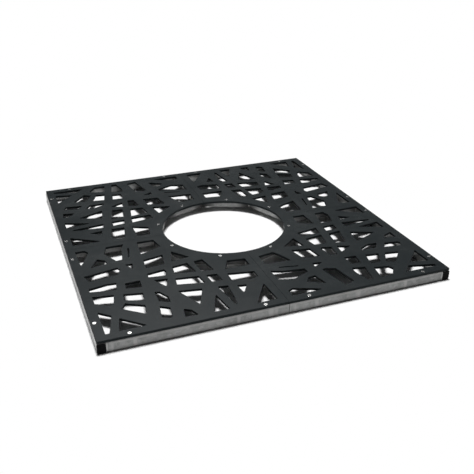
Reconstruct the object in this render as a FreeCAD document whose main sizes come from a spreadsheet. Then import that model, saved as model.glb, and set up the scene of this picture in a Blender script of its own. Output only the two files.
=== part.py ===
import FreeCAD, Part
import math
import os

import Sketcher

# Driving dimensions: alias, millimetres (or degrees), what it is.
SIZES = (
    ("side", 1200, "outer side of the square grate"),
    ("tube_high", 35, "height of the rim tubes, which stand on the bed"),
    ("tube_wide", 28, "width of the rim tubes"),
    ("tube_wall", 3, "wall of the tubes"),
    ("tube_round", 6, "outer corner radius of the rim tubes"),
    ("bar_high", 20, "height of the inner bars and the ring, which hang under the plates"),
    ("bar_round", 4, "outer corner radius of the inner bars and the ring"),
    ("cross_wide", 40, "width of the cross bars under the side seams"),
    ("split_wide", 20, "width of each bar beside the split line"),
    ("split_gap", 1.5, "gap between the two half frames at the rails and the ring"),
    ("plate_thick", 8, "thickness of the cover plates"),
    ("plate_inset", 2, "plate edge inside the outer face of the rim"),
    ("seam_gap", 0.6, "gap between neighbouring cover plates"),
    ("hole_radius", 234, "trunk hole in the cover plates"),
    ("ring_reach", 252, "from the centre to the middle line of each ring tube and its screw"),
    ("ring_wide", 35, "width of the ring tubes"),
    ("cut_round", 2, "corner radius of the cut-outs"),
    ("screw_near", 75, "rim screw nearer to a seam"),
    ("screw_far", 500, "rim screw nearer to a corner"),
    ("screw_step", 45, "angle between ring tubes and their screws, degrees"),
    ("screw_radius", 3, "radius of the screw shank"),
    ("screw_head", 6, "radius of the countersunk screw head"),
    ("screw_long", 20, "length of the screw, head included"),
    ("screw_play", 0.3, "radial clearance round the screw"),
    ("screw_tip", 0.6, "chamfer at the screw's tip"),
    ("socket_radius", 2.3, "corner radius of the hexagon socket in a screw head"),
    ("socket_deep", 2, "depth of the hexagon socket"),
    ("insert_radius", 4.5, "hole for a threaded insert"),
    ("insert_play", 0.05, "radial clearance round an insert"),
    ("insert_collar", 6, "radius of the swaged collar of an insert"),
    ("insert_swage", 3.5, "height of the swaged collar"),
    ("insert_long", 14, "length of an insert"),
    ("plug_head", 2, "thickness of an end plug's head, over the tube's end"),
    ("plug_inset", 1, "edge of the head inside the tube's outer faces"),
    ("plug_head_round", 5, "corner radius of the head"),
    ("plug_deep", 18, "length of an end plug, head included"),
    ("plug_core_play", 1.2, "gap between the plug's core and the tube's inner wall"),
    ("plug_rib_play", 0.1, "gap between the plug's ribs and the tube's inner wall"),
    ("plug_rib_thick", 1.5, "thickness of a rib"),
    ("plug_rib_step", 4.5, "distance between ribs"),
    ("plug_round", 3, "corner radius of the plug's core and ribs"),
    ("bolt_near", 345, "clamp bolt nearer to the ring, from the centre"),
    ("bolt_far", 500, "clamp bolt nearer to the rail, from the centre"),
    ("bolt_radius", 4, "radius of a clamp bolt"),
    ("bolt_long", 55, "length of a clamp bolt under its head"),
    ("bolt_head_high", 5.3, "height of a clamp bolt's head"),
    ("bolt_hex", 7.5, "corner radius of a bolt head or nut"),
    ("bolt_hole", 4.5, "radius of the bolt holes in the split bars"),
    ("bolt_play", 0.1, "radial clearance of a clamp nut on its bolt"),
    ("nut_high", 6.5, "height of a clamp nut"),
    ("washer_radius", 8, "outer radius of a washer"),
    ("washer_bore", 4.2, "inner radius of a washer"),
    ("washer_thick", 1.6, "thickness of a washer"),
)

# Corners of the cut-outs in one cover plate, read by hand from the photo in the quarter where x and y
# are positive. The seams lie on the axes and the trunk hole is round the origin.
CUT_OUTS = (
    ((570, 25), (537, 25), (526, 45), (557, 118), (566, 135)),
    ((460, 25), (396, 23), (412, 62), (424, 138), (446, 141), (476, 75)),
    ((389, 60), (383, 60), (396, 128), (402, 127)),
    ((346, 25), (286, 27), (274, 86), (298, 100), (354, 122)),
    ((506, 106), (482, 124), (478, 150), (538, 162)),
    ((570, 214), (500, 200), (452, 190), (447, 205), (460, 238), (557, 254)),
    ((424, 178), (398, 180), (404, 219)),
    ((357, 168), (285, 153), (296, 222), (362, 230)),
    ((250, 140), (200, 202), (268, 213)),
    ((368, 268), (308, 258), (304, 272), (313, 300), (370, 293)),
    ((277, 251), (221, 242), (210, 312), (281, 300)),
    ((198, 240), (165, 235), (150, 321), (194, 316)),
    ((87, 275), (24, 283), (24, 330), (114, 332)),
    ((568, 300), (506, 287), (477, 290), (487, 336), (568, 320)),
    ((452, 304), (402, 302), (404, 347), (456, 338)),
    ((359, 317), (313, 322), (330, 370)),
    ((289, 331), (212, 343), (205, 392), (295, 372)),
    ((187, 347), (152, 350), (146, 397), (183, 396)),
    ((118, 361), (28, 378), (28, 416), (55, 424), (119, 410)),
    ((567, 351), (500, 362), (511, 414), (527, 422), (566, 395)),
    ((471, 369), (411, 382), (418, 431), (477, 405)),
    ((478, 425), (422, 456), (430, 506), (495, 452)),
    ((376, 391), (361, 394), (342, 432), (344, 469), (376, 450)),
    ((305, 411), (227, 425), (262, 511)),
    ((177, 431), (143, 435), (148, 512), (154, 553), (162, 545)),
    ((116, 446), (84, 452), (110, 496)),
    ((567, 446), (531, 479), (555, 569), (567, 569)),
    ((512, 500), (442, 566), (527, 567)),
    ((382, 478), (354, 497), (361, 548), (371, 553), (392, 542)),
    ((318, 519), (297, 533), (284, 566), (326, 564)),
    ((199, 475), (185, 569), (237, 569)),
    ((30, 465), (26, 569), (96, 569)),
)

# Turn about the vertical axis that brings the back right quarter to each quarter.
QUARTERS = {"back_right": 0, "back_left": 90, "front_left": 180, "front_right": 270}

# Formulas on the sheet that several pieces share.
HALF_HIGH = "Sizes.tube_high / 2"
TUBE_MIDDLE = "(Sizes.side - Sizes.tube_wide) / 2"
TUBE_INNER_WIDE = "Sizes.tube_wide - 2 * Sizes.tube_wall"
TUBE_INNER_HIGH = "Sizes.tube_high - 2 * Sizes.tube_wall"
TUBE_REACH = "(Sizes.side / 2 - Sizes.plug_head)"
BAR_MIDDLE = "Sizes.tube_high - Sizes.bar_high / 2"
RAIL_INSIDE = "Sizes.side / 2 - Sizes.tube_wide"
RING_OUTSIDE = "(Sizes.ring_reach + Sizes.ring_wide / 2)"
RING_SLOPE = "tan(Sizes.screw_step / 2)"
RING_LENGTH = f"2 * {RING_OUTSIDE} * {RING_SLOPE}"
RING_CORNER = f"{RING_OUTSIDE} / cos(Sizes.screw_step / 2)"
PLATE_REACH = "Sizes.side / 2 - Sizes.plate_inset"
SCREW_HOLE = "Sizes.screw_radius + Sizes.screw_play"

COUNTERSINK_ANGLE = 90
PLUG_RIBS = 3
RIM_SCREWS = 4

# The eight straight tubes of the ring, anticlockwise from the X axis.
RING_TUBES = (
    "right_back", "back_right", "back_left", "left_back",
    "left_front", "front_left", "front_right", "right_front",
)
SIGN = {"left": "-", "right": "", "front": "-", "back": ""}

# Names of the points of a sketch's edges, its origin and its X axis.
START, END, CENTRE = 1, 2, 3
ORIGIN = (-1, 1)
X_AXIS = -1
UP = FreeCAD.Vector(0, 0, 1)

doc = FreeCAD.newDocument("TreeGrate")
sheet = doc.addObject("Spreadsheet::Sheet", "Sizes")
for row, (alias, number, note) in enumerate(SIZES, start=1):
    sheet.set(f"A{row}", note)
    sheet.set(f"B{row}", str(number))
    sheet.setAlias(f"B{row}", alias)
doc.recompute()


def origin_feature(body, role):
    """Returns a plane or axis of a body's own origin."""
    return next(item for item in body.Origin.OriginFeatures if item.Role == role)


def new_body(label):
    """Returns an empty body whose name and label are the node's name."""
    body = doc.addObject("PartDesign::Body", label)
    body.Label = label
    return body


def new_sketch(body, name, role, raised="0"):
    """Returns a sketch on one of the body's origin planes, raised along the plane's normal."""
    sketch = body.newObject("Sketcher::SketchObject", f"{body.Label}_{name}")
    sketch.AttachmentSupport = [(origin_feature(body, role), "")]
    sketch.MapMode = "FlatFace"
    sketch.setExpression("AttachmentOffset.Base.z", raised)
    return sketch


def place(body, x, y, z, turn):
    """Gives a piece its Placement: a turn about the vertical axis and a bound position."""
    body.Placement = FreeCAD.Placement(FreeCAD.Vector(), FreeCAD.Rotation(UP, turn))
    for axis, formula in zip("xyz", (x, y, z)):
        body.setExpression(f"Placement.Base.{axis}", formula)


def worked_out(formula):
    """Returns the present value of a formula on the sheet."""
    return float(sheet.evalExpression(formula))


def tie(sketch, kind, *where):
    """Adds a plain constraint to a sketch."""
    sketch.addConstraint(Sketcher.Constraint(kind, *where))


def hold(sketch, name, formula, kind, *where):
    """Adds a named dimension to a sketch and binds it to a formula on the sheet."""
    index = sketch.addConstraint(Sketcher.Constraint(kind, *where, worked_out(formula)))
    sketch.renameConstraint(index, name)
    sketch.setExpression(f"Constraints.{name}", formula)


def draw_polygon(sketch, points):
    """Draws a closed chain of lines through points and returns their indices."""
    count = len(points)
    lines = []
    for index in range(count):
        segment = Part.LineSegment(points[index], points[(index + 1) % count])
        lines.append(sketch.addGeometry(segment))
    for index in range(count):
        tie(sketch, "Coincident", lines[index], END, lines[(index + 1) % count], START)
    return lines


def draw_held_polygon(sketch, name, outline):
    """Draws a closed chain of lines whose corners are bound to (x, y) formulas."""
    points = [FreeCAD.Vector(worked_out(x), worked_out(y), 0) for x, y in outline]
    lines = draw_polygon(sketch, points)
    for index, (x, y) in enumerate(outline):
        hold(sketch, f"{name}_x_{index}", x, "DistanceX", *ORIGIN, lines[index], START)
        hold(sketch, f"{name}_y_{index}", y, "DistanceY", *ORIGIN, lines[index], START)


def draw_rounded_rectangle(sketch, name, wide, high, corner):
    """Draws a rectangle with round corners, centred on the sketch's origin."""
    reach = FreeCAD.Vector(worked_out(wide) / 2, worked_out(high) / 2, 0)
    radius = worked_out(corner)
    lines = []
    arcs = []
    for index in range(4):
        turn = FreeCAD.Rotation(UP, 90 * index)
        half_across, half_along = (reach.x, reach.y) if index % 2 == 0 else (reach.y, reach.x)
        start = turn.multVec(FreeCAD.Vector(radius - half_across, -half_along, 0))
        end = turn.multVec(FreeCAD.Vector(half_across - radius, -half_along, 0))
        centre = turn.multVec(FreeCAD.Vector(half_across - radius, radius - half_along, 0))
        first = math.radians(90 * (index - 1))
        lines.append(sketch.addGeometry(Part.LineSegment(start, end)))
        circle = Part.Circle(centre, UP, radius)
        arcs.append(sketch.addGeometry(Part.ArcOfCircle(circle, first, first + math.pi / 2)))
    for index in range(4):
        tie(sketch, "Tangent", lines[index], END, arcs[index], START)
        tie(sketch, "Tangent", arcs[index], END, lines[(index + 1) % 4], START)
        tie(sketch, "Horizontal" if index % 2 == 0 else "Vertical", lines[index])
    for arc in arcs[1:]:
        tie(sketch, "Equal", arcs[0], arc)
    tie(sketch, "Symmetric", lines[0], START, lines[2], START, *ORIGIN)
    hold(sketch, f"{name}_wide", wide, "DistanceX", lines[3], START, lines[1], START)
    hold(sketch, f"{name}_high", high, "DistanceY", lines[0], START, lines[2], START)
    hold(sketch, f"{name}_round", corner, "Radius", arcs[0])


def draw_circle(sketch, name, x, y, radius):
    """Draws a circle with its centre and radius bound to formulas."""
    centre = FreeCAD.Vector(worked_out(x), worked_out(y), 0)
    circle = sketch.addGeometry(Part.Circle(centre, UP, worked_out(radius)))
    hold(sketch, f"{name}_x", x, "DistanceX", *ORIGIN, circle, CENTRE)
    hold(sketch, f"{name}_y", y, "DistanceY", *ORIGIN, circle, CENTRE)
    hold(sketch, f"{name}_radius", radius, "Radius", circle)


def draw_hexagon(sketch, radius):
    """Draws a regular hexagon round the sketch's origin, with a corner on its X axis."""
    reach = FreeCAD.Vector(worked_out(radius), 0, 0)
    lines = draw_polygon(sketch, [FreeCAD.Rotation(UP, 60 * corner).multVec(reach) for corner in range(6)])
    guide = sketch.addGeometry(Part.Circle(FreeCAD.Vector(), UP, reach.x), True)
    tie(sketch, "Coincident", guide, CENTRE, *ORIGIN)
    for line in lines:
        tie(sketch, "PointOnObject", line, START, guide)
    for line in lines[1:]:
        tie(sketch, "Equal", lines[0], line)
    tie(sketch, "PointOnObject", lines[0], START, X_AXIS)
    hold(sketch, "hexagon_radius", radius, "Radius", guide)


def draw_rounded_outline(sketch, points, radius):
    """Draws a closed outline of straight edges whose corners are tangent arcs."""
    corners = [FreeCAD.Vector(x, y, 0) for x, y in points]
    arcs = []
    for index, corner in enumerate(corners):
        back = (corners[index - 1] - corner).normalize()
        ahead = (corners[(index + 1) % len(corners)] - corner).normalize()
        half_angle = back.getAngle(ahead) / 2
        trim = radius / math.tan(half_angle)
        inward = (back + ahead).normalize() * (radius / math.sin(half_angle) - radius)
        arcs.append((corner + back * trim, corner + inward, corner + ahead * trim))
    for index, (start, middle, end) in enumerate(arcs):
        sketch.addGeometry(Part.Arc(start, middle, end))
        sketch.addGeometry(Part.LineSegment(end, arcs[(index + 1) % len(arcs)][0]))


def pad(body, sketch, name, length, backwards=False):
    """Raises a solid from a sketch along its normal, or backwards."""
    feature = body.newObject("PartDesign::Pad", f"{body.Label}_{name}")
    feature.Profile = sketch
    feature.Reversed = backwards
    feature.setExpression("Length", length)
    return feature


def cut_through(body, sketch, name, sides):
    """Cuts a sketch right through a body: up along its normal, or both ways."""
    feature = body.newObject("PartDesign::Pocket", f"{body.Label}_{name}")
    feature.Profile = sketch
    feature.Type = "ThroughAll"
    feature.Reversed = sides == "up"
    if sides == "both":
        feature.SideType = "Symmetric"
    return feature


def cut_down(body, sketch, name, depth):
    """Cuts a sketch out of a body to a depth against its normal."""
    feature = body.newObject("PartDesign::Pocket", f"{body.Label}_{name}")
    feature.Profile = sketch
    feature.setExpression("Length", depth)
    return feature


def revolve(body, sketch, name, angle):
    """Turns a sketch about the body's vertical axis."""
    feature = body.newObject("PartDesign::Revolution", f"{body.Label}_{name}")
    feature.Profile = sketch
    feature.ReferenceAxis = (origin_feature(body, "Z_Axis"), [""])
    feature.setExpression("Angle", angle)
    return feature


def turned_piece(label, outline):
    """Returns a body turned about its vertical axis from (radius, height) formulas."""
    body = new_body(label)
    sketch = new_sketch(body, "profile", "XZ_Plane")
    draw_held_polygon(sketch, "corner", outline)
    revolve(body, sketch, "turned", "360 deg")
    return body


def tube(label, length, wide, high, corner):
    """Returns a rectangular tube that starts at its origin and runs along its own X axis."""
    body = new_body(label)
    section = new_sketch(body, "section", "YZ_Plane")
    draw_rounded_rectangle(section, "outer", wide, high, corner)
    inner = [f"{across} - 2 * Sizes.tube_wall" for across in (wide, high)]
    draw_rounded_rectangle(section, "inner", *inner, f"{corner} - Sizes.tube_wall")
    pad(body, section, "length", length)
    return body


def rim_tube(label, length):
    """Returns a tube of the rim."""
    return tube(label, length, "Sizes.tube_wide", "Sizes.tube_high", "Sizes.tube_round")


def inner_tube(label, length, wide):
    """Returns a shallower tube of the inner bars or the ring."""
    return tube(label, length, wide, "Sizes.bar_high", "Sizes.bar_round")


def drill_inserts(body, distances):
    """Drills the holes of threaded inserts through a tube's top wall."""
    sketch = new_sketch(body, "insert_places", "XY_Plane")
    for index, distance in enumerate(distances):
        draw_circle(sketch, f"insert_{index}", distance, "0", "Sizes.insert_radius")
    cut_through(body, sketch, "insert_holes", "up")


def notched_bar(label, wide, aside):
    """Returns a bar from a rail to a corner of the ring, notched to the two tubes that meet there.

    The corner lies on the line "aside" from the bar's own middle line.
    """
    corner = f"({RAIL_INSIDE} - {RING_CORNER})"
    far = "Sizes.cross_wide"
    body = inner_tube(label, f"{corner} + {far}", wide)
    sketch = new_sketch(body, "ring_corner", "XY_Plane")
    outline = (
        (corner, aside),
        (f"{corner} + {far} * {RING_SLOPE}", f"{aside} + {far}"),
        (f"{corner} + 2 * {far}", f"{aside} + {far}"),
        (f"{corner} + 2 * {far}", f"{aside} - {far}"),
        (f"{corner} + {far} * {RING_SLOPE}", f"{aside} - {far}"),
    )
    draw_held_polygon(sketch, "notch", outline)
    cut_through(body, sketch, "notched_end", "both")
    return body


def side_tube(hand):
    """Makes a full-depth side tube, open at both ends for its plugs."""
    body = rim_tube(f"side_tube_{hand}", f"2 * {TUBE_REACH}")
    near_and_far = ("Sizes.screw_near", "Sizes.screw_far")
    drill_inserts(body, [f"{TUBE_REACH} {sign} {reach}" for sign in "+-" for reach in near_and_far])
    place(body, f"{SIGN[hand]}{TUBE_MIDDLE}", f"-{TUBE_REACH}", HALF_HIGH, 90)
    return body


def half_rail(end, hand):
    """Makes one half of the front or back rail, from the split line to a side tube."""
    body = rim_tube(f"{end}_rail_{hand}", f"{RAIL_INSIDE} - Sizes.split_gap / 2")
    near_and_far = ("Sizes.screw_near", "Sizes.screw_far")
    drill_inserts(body, [f"{reach} - Sizes.split_gap / 2" for reach in near_and_far])
    turn = 0 if hand == "right" else 180
    place(body, f"{SIGN[hand]}Sizes.split_gap / 2", f"{SIGN[end]}{TUBE_MIDDLE}", HALF_HIGH, turn)
    return body


def cross_bar(hand):
    """Makes the bar under a side seam, from a side tube to the ring."""
    body = notched_bar(f"cross_bar_{hand}", "Sizes.cross_wide", "0")
    turn = 180 if hand == "right" else 0
    place(body, f"{SIGN[hand]}({RAIL_INSIDE})", "0", BAR_MIDDLE, turn)
    return body


def split_bar(end, hand):
    """Makes one of the paired bars that meet on the split line, from a rail to the ring."""
    mirrored = (end == "front") != (hand == "right")
    aside = "-Sizes.split_wide / 2" if mirrored else "Sizes.split_wide / 2"
    body = notched_bar(f"split_bar_{end}_{hand}", "Sizes.split_wide", aside)
    sketch = new_sketch(body, "bolt_places", "XZ_Plane")
    for reach in ("bolt_near", "bolt_far"):
        draw_circle(sketch, reach, f"{RAIL_INSIDE} - Sizes.{reach}", "0", "Sizes.bolt_hole")
    cut_through(body, sketch, "bolt_holes", "both")
    turn = 90 if end == "front" else 270
    place(body, f"{SIGN[hand]}Sizes.split_wide / 2", f"{SIGN[end]}({RAIL_INSIDE})", BAR_MIDDLE, turn)
    return body


def ring_place(steps):
    """Returns the formulas of a place on the ring, in screw steps from the X axis."""
    angle = f"{steps} * Sizes.screw_step"
    return f"Sizes.ring_reach * cos({angle})", f"Sizes.ring_reach * sin({angle})"


def mitre(body, name, trims):
    """Cuts both ends of a ring tube on the lines through the grate's centre, less a trim at each."""
    across = "Sizes.ring_wide"
    outline = (
        (f"-{across} / 2 * {RING_SLOPE}", f"-{across}"),
        (f"{across} * 3 / 2 * {RING_SLOPE}", across),
        (f"-{across}", across),
        (f"-{across}", f"-{across}"),
    )
    sketch = new_sketch(body, name, "XY_Plane")
    starts = [(f"{x} + {trims[0]}", y) for x, y in outline]
    ends = [(f"{RING_LENGTH} - ({x} + {trims[1]})", y) for x, y in outline]
    draw_held_polygon(sketch, "start", starts)
    draw_held_polygon(sketch, "end", ends)
    cut_through(body, sketch, f"{name}_cut", "both")


def ring_tube(number):
    """Makes one of the eight straight tubes under the rim of the trunk hole, mitred at both ends."""
    body = inner_tube(f"ring_tube_{RING_TUBES[number]}", RING_LENGTH, "Sizes.ring_wide")
    drill_inserts(body, [f"{RING_LENGTH} / 2"])
    gap = "Sizes.split_gap / 2 / cos(Sizes.screw_step / 2)"
    trims = (gap if number in (2, 6) else "0", gap if number in (1, 5) else "0")
    mitre(body, "mitres", trims)
    angle = f"({number} + 0.5) * Sizes.screw_step"
    x, y = ring_place(number + 0.5)
    x = f"{x} + {RING_LENGTH} / 2 * sin({angle})"
    y = f"{y} - {RING_LENGTH} / 2 * cos({angle})"
    turn = (number + 0.5) * worked_out("Sizes.screw_step") + 90
    place(body, x, y, BAR_MIDDLE, turn)
    return body


def plate_screw_places():
    """Returns the formulas of the six screw places of the back right plate."""
    rim = [(TUBE_MIDDLE, "Sizes.screw_near"), (TUBE_MIDDLE, "Sizes.screw_far")]
    return rim + [(y, x) for x, y in rim] + [ring_place(0.5), ring_place(1.5)]


def draw_plate_outline(sketch):
    """Draws a square quarter with the trunk hole cut out of its inner corner."""
    reach = worked_out(PLATE_REACH)
    seam = worked_out("Sizes.seam_gap / 2")
    radius = worked_out("Sizes.hole_radius")
    rim = math.sqrt(radius ** 2 - seam ** 2)
    points = ((seam, rim), (seam, reach), (reach, reach), (reach, seam), (rim, seam))
    corners = [FreeCAD.Vector(x, y, 0) for x, y in points]
    lines = [sketch.addGeometry(Part.LineSegment(*pair)) for pair in zip(corners, corners[1:])]
    first = math.asin(seam / radius)
    circle = Part.Circle(FreeCAD.Vector(), UP, radius)
    arc = sketch.addGeometry(Part.ArcOfCircle(circle, first, math.pi / 2 - first))
    for line, following in zip(lines, lines[1:]):
        tie(sketch, "Coincident", line, END, following, START)
    tie(sketch, "Coincident", lines[-1], END, arc, START)
    tie(sketch, "Coincident", arc, END, lines[0], START)
    tie(sketch, "Coincident", arc, CENTRE, *ORIGIN)
    for line, direction in zip(lines, ("Vertical", "Horizontal", "Vertical", "Horizontal")):
        tie(sketch, direction, line)
    hold(sketch, "hole_radius", "Sizes.hole_radius", "Radius", arc)
    hold(sketch, "seam_x", "Sizes.seam_gap / 2", "DistanceX", *ORIGIN, lines[0], START)
    hold(sketch, "seam_y", "Sizes.seam_gap / 2", "DistanceY", *ORIGIN, lines[3], START)
    hold(sketch, "reach_x", PLATE_REACH, "DistanceX", *ORIGIN, lines[1], END)
    hold(sketch, "reach_y", PLATE_REACH, "DistanceY", *ORIGIN, lines[1], END)


def cover_plate(quarter):
    """Makes one quarter of the perforated cover, with its cut-outs and countersunk holes."""
    body = new_body(f"plate_{quarter}")
    outline = new_sketch(body, "outline", "XY_Plane")
    draw_plate_outline(outline)
    pad(body, outline, "sheet", "Sizes.plate_thick")
    openings = new_sketch(body, "openings", "XY_Plane")
    for points in CUT_OUTS:
        draw_rounded_outline(openings, points, worked_out("Sizes.cut_round"))
    cut_through(body, openings, "cut_outs", "up")
    shanks = new_sketch(body, "screw_places", "XY_Plane", "Sizes.plate_thick")
    for index, (x, y) in enumerate(plate_screw_places()):
        draw_circle(shanks, f"screw_{index}", x, y, SCREW_HOLE)
    doc.recompute()
    hole = body.newObject("PartDesign::Hole", f"{body.Label}_screw_holes")
    hole.Profile = shanks
    hole.DepthType = "ThroughAll"
    hole.HoleCutType = "Countersink"
    hole.HoleCutCustomValues = True
    hole.HoleCutCountersinkAngle = COUNTERSINK_ANGLE
    hole.setExpression("Diameter", f"2 * ({SCREW_HOLE})")
    hole.setExpression("HoleCutDiameter", "2 * Sizes.screw_head")
    place(body, "0", "0", "Sizes.tube_high", QUARTERS[quarter])
    return body


def draw_plug_outline(sketch, name, play):
    """Draws an outline inside a side tube's bore, drawn in all round by a clearance."""
    wide = f"{TUBE_INNER_WIDE} - 2 * ({play})"
    high = f"{TUBE_INNER_HIGH} - 2 * ({play})"
    draw_rounded_rectangle(sketch, name, wide, high, "Sizes.plug_round")


def end_plug(end, hand):
    """Makes the plastic plug of one end of a side tube: a head, a hollow core and ribs."""
    body = new_body(f"end_plug_{end}_{hand}")
    head = new_sketch(body, "head_outline", "YZ_Plane")
    across = [f"Sizes.{size} - 2 * Sizes.plug_inset" for size in ("tube_wide", "tube_high")]
    draw_rounded_rectangle(head, "head", *across, "Sizes.plug_head_round")
    pad(body, head, "head", "Sizes.plug_head")
    core = new_sketch(body, "core_outline", "YZ_Plane")
    draw_plug_outline(core, "core", "Sizes.plug_core_play")
    pad(body, core, "core", "Sizes.plug_deep")
    for number in range(1, PLUG_RIBS + 1):
        rib = new_sketch(body, f"rib_outline_{number}", "YZ_Plane", f"{number} * Sizes.plug_rib_step")
        draw_plug_outline(rib, "rib", "Sizes.plug_rib_play")
        pad(body, rib, f"rib_{number}", "Sizes.plug_rib_thick")
    hollow = new_sketch(body, "hollow_outline", "YZ_Plane", "Sizes.plug_deep")
    draw_plug_outline(hollow, "hollow", "Sizes.plug_core_play + Sizes.plug_rib_thick")
    cut_down(body, hollow, "hollow", "Sizes.plug_deep - Sizes.plug_head")
    turn = 90 if end == "front" else 270
    place(body, f"{SIGN[hand]}{TUBE_MIDDLE}", f"{SIGN[end]}Sizes.side / 2", HALF_HIGH, turn)
    return body


def countersunk_screw():
    """Returns a countersunk screw with a hexagon socket, its head's top at the origin."""
    outline = (
        ("0", "0"),
        ("Sizes.screw_head", "0"),
        ("Sizes.screw_radius", "Sizes.screw_radius - Sizes.screw_head"),
        ("Sizes.screw_radius", "Sizes.screw_tip - Sizes.screw_long"),
        ("Sizes.screw_radius - Sizes.screw_tip", "-Sizes.screw_long"),
        ("0", "-Sizes.screw_long"),
    )
    body = turned_piece("screw", outline)
    socket = new_sketch(body, "socket_outline", "XY_Plane")
    draw_hexagon(socket, "Sizes.socket_radius")
    cut_down(body, socket, "socket", "Sizes.socket_deep")
    return body


def rivet_nut():
    """Returns a threaded insert, flush with the tube's top and swaged under its wall."""
    outside = "Sizes.insert_radius - Sizes.insert_play"
    outline = (
        (SCREW_HOLE, "0"),
        (outside, "0"),
        (outside, "-Sizes.tube_wall"),
        ("Sizes.insert_collar", "-Sizes.tube_wall"),
        ("Sizes.insert_collar", "-Sizes.tube_wall - Sizes.insert_swage / 2"),
        (outside, "-Sizes.tube_wall - Sizes.insert_swage"),
        (outside, "-Sizes.insert_long"),
        (SCREW_HOLE, "-Sizes.insert_long"),
    )
    return turned_piece("rivet_nut", outline)


def clamp_bolt():
    """Returns a hexagon bolt along its own X axis, with its head behind the origin."""
    body = new_body("clamp_bolt")
    head = new_sketch(body, "head_outline", "YZ_Plane")
    draw_hexagon(head, "Sizes.bolt_hex")
    pad(body, head, "head", "Sizes.bolt_head_high", backwards=True)
    shank = new_sketch(body, "shank_outline", "YZ_Plane")
    draw_circle(shank, "shank", "0", "0", "Sizes.bolt_radius")
    pad(body, shank, "shank", "Sizes.bolt_long")
    return body


def clamp_nut():
    """Returns a hexagon nut along its own X axis."""
    body = new_body("clamp_nut")
    sketch = new_sketch(body, "outline", "YZ_Plane")
    draw_hexagon(sketch, "Sizes.bolt_hex")
    draw_circle(sketch, "bore", "0", "0", "Sizes.bolt_radius + Sizes.bolt_play")
    pad(body, sketch, "nut", "Sizes.nut_high")
    return body


def clamp_washer():
    """Returns a plain washer along its own X axis."""
    body = new_body("clamp_washer")
    sketch = new_sketch(body, "outline", "YZ_Plane")
    draw_circle(sketch, "rim", "0", "0", "Sizes.washer_radius")
    draw_circle(sketch, "bore", "0", "0", "Sizes.washer_bore")
    pad(body, sketch, "washer", "Sizes.washer_thick")
    return body


def group(label, master, places):
    """Makes one node of separate copies of a fastener at places in the grate."""
    copies = []
    for position in places:
        copy = master.Shape.copy()
        copy.Placement = FreeCAD.Placement(position, FreeCAD.Rotation())
        copies.append(copy)
    node = doc.addObject("Part::Feature", label)
    node.Label = label
    node.Shape = Part.makeCompound(copies)
    node.Placement = FreeCAD.Placement()
    return node


def quarter_places(quarter, places, height):
    """Returns places of the back right quarter turned to another quarter, at a height."""
    turn = FreeCAD.Rotation(UP, QUARTERS[quarter])
    level = worked_out(height)
    return [turn.multVec(FreeCAD.Vector(worked_out(x), worked_out(y), level)) for x, y in places]


def fasteners():
    """Makes the groups of screws, inserts, clamp bolts, washers and nuts."""
    screw = countersunk_screw()
    insert = rivet_nut()
    bolt = clamp_bolt()
    nut = clamp_nut()
    washer = clamp_washer()
    doc.recompute()
    places = plate_screw_places()
    groups = []
    rim_places = []
    ring_places = []
    for quarter in QUARTERS:
        heads = quarter_places(quarter, places, "Sizes.tube_high + Sizes.plate_thick")
        groups.append(group(f"screws_{quarter}", screw, heads))
        rim_places += quarter_places(quarter, places[:RIM_SCREWS], "Sizes.tube_high")
        ring_places += quarter_places(quarter, places[RIM_SCREWS:], "Sizes.tube_high")
    groups.append(group("rivet_nuts_rim", insert, rim_places))
    groups.append(group("rivet_nuts_ring", insert, ring_places))
    bar = worked_out("Sizes.split_wide")
    thick = worked_out("Sizes.washer_thick")
    lines = []
    for reach in ("bolt_near", "bolt_far"):
        distance = worked_out(f"Sizes.{reach}")
        lines += [FreeCAD.Vector(0, side * distance, worked_out(BAR_MIDDLE)) for side in (-1, 1)]
    along = FreeCAD.Vector(1, 0, 0)
    groups.append(group("clamp_bolts", bolt, [line - along * (bar + thick) for line in lines]))
    groups.append(group("clamp_nuts", nut, [line + along * (bar + thick) for line in lines]))
    washer_starts = (-bar - thick, bar)
    washer_places = [line + along * start for line in lines for start in washer_starts]
    groups.append(group("clamp_washers", washer, washer_places))
    return groups


def check(nodes):
    """Stops if a feature failed, a cut removed nothing or a node has no valid solid."""
    for item in doc.Objects:
        if "Invalid" in item.State or "Error" in item.State:
            raise RuntimeError(f"{item.Label} failed: {item.State}")
        if item.TypeId in ("PartDesign::Pocket", "PartDesign::Hole"):
            removed = item.BaseFeature.Shape.Volume - item.Shape.Volume
            if removed <= 0:
                raise RuntimeError(f"{item.Label} cuts nothing")
    for node in nodes:
        if node.Shape.isNull() or not node.Shape.isValid() or not node.Shape.Solids:
            raise RuntimeError(f"{node.Label} has no valid solid")


def main():
    """Builds every node, checks it and writes it to its own file."""
    hands = ("left", "right")
    ends = ("front", "back")
    nodes = [cover_plate(quarter) for quarter in QUARTERS]
    for hand in hands:
        nodes += [side_tube(hand), cross_bar(hand)]
        for end in ends:
            nodes += [half_rail(end, hand), split_bar(end, hand), end_plug(end, hand)]
    nodes += [ring_tube(number) for number in range(len(RING_TUBES))]
    nodes += fasteners()
    doc.recompute()
    check(nodes)
    os.makedirs("parts", exist_ok=True)
    for node in nodes:
        node.Shape.exportStep(f"parts/{node.Label}.step")
        print(f"{node.Label}: {len(node.Shape.Solids)} solids, {node.Shape.Volume / 1000:.1f} cm3")


main()
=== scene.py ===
"""Dresses a steel tree grate and sets it in a plain studio.

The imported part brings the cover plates, the tube frame and the fasteners. This script gives each of
them its finish, rounds the edges that show, adds the weld beads that join the tubes, and places the
camera, the floor and the lamps. All lengths are in metres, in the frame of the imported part: x right,
y back and z up, with the origin on the floor under the middle of the trunk hole.
"""

import logging
import math
from collections.abc import Iterable
from dataclasses import dataclass
from enum import Enum

import bmesh
import bpy
from mathutils import Matrix, Vector


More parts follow.
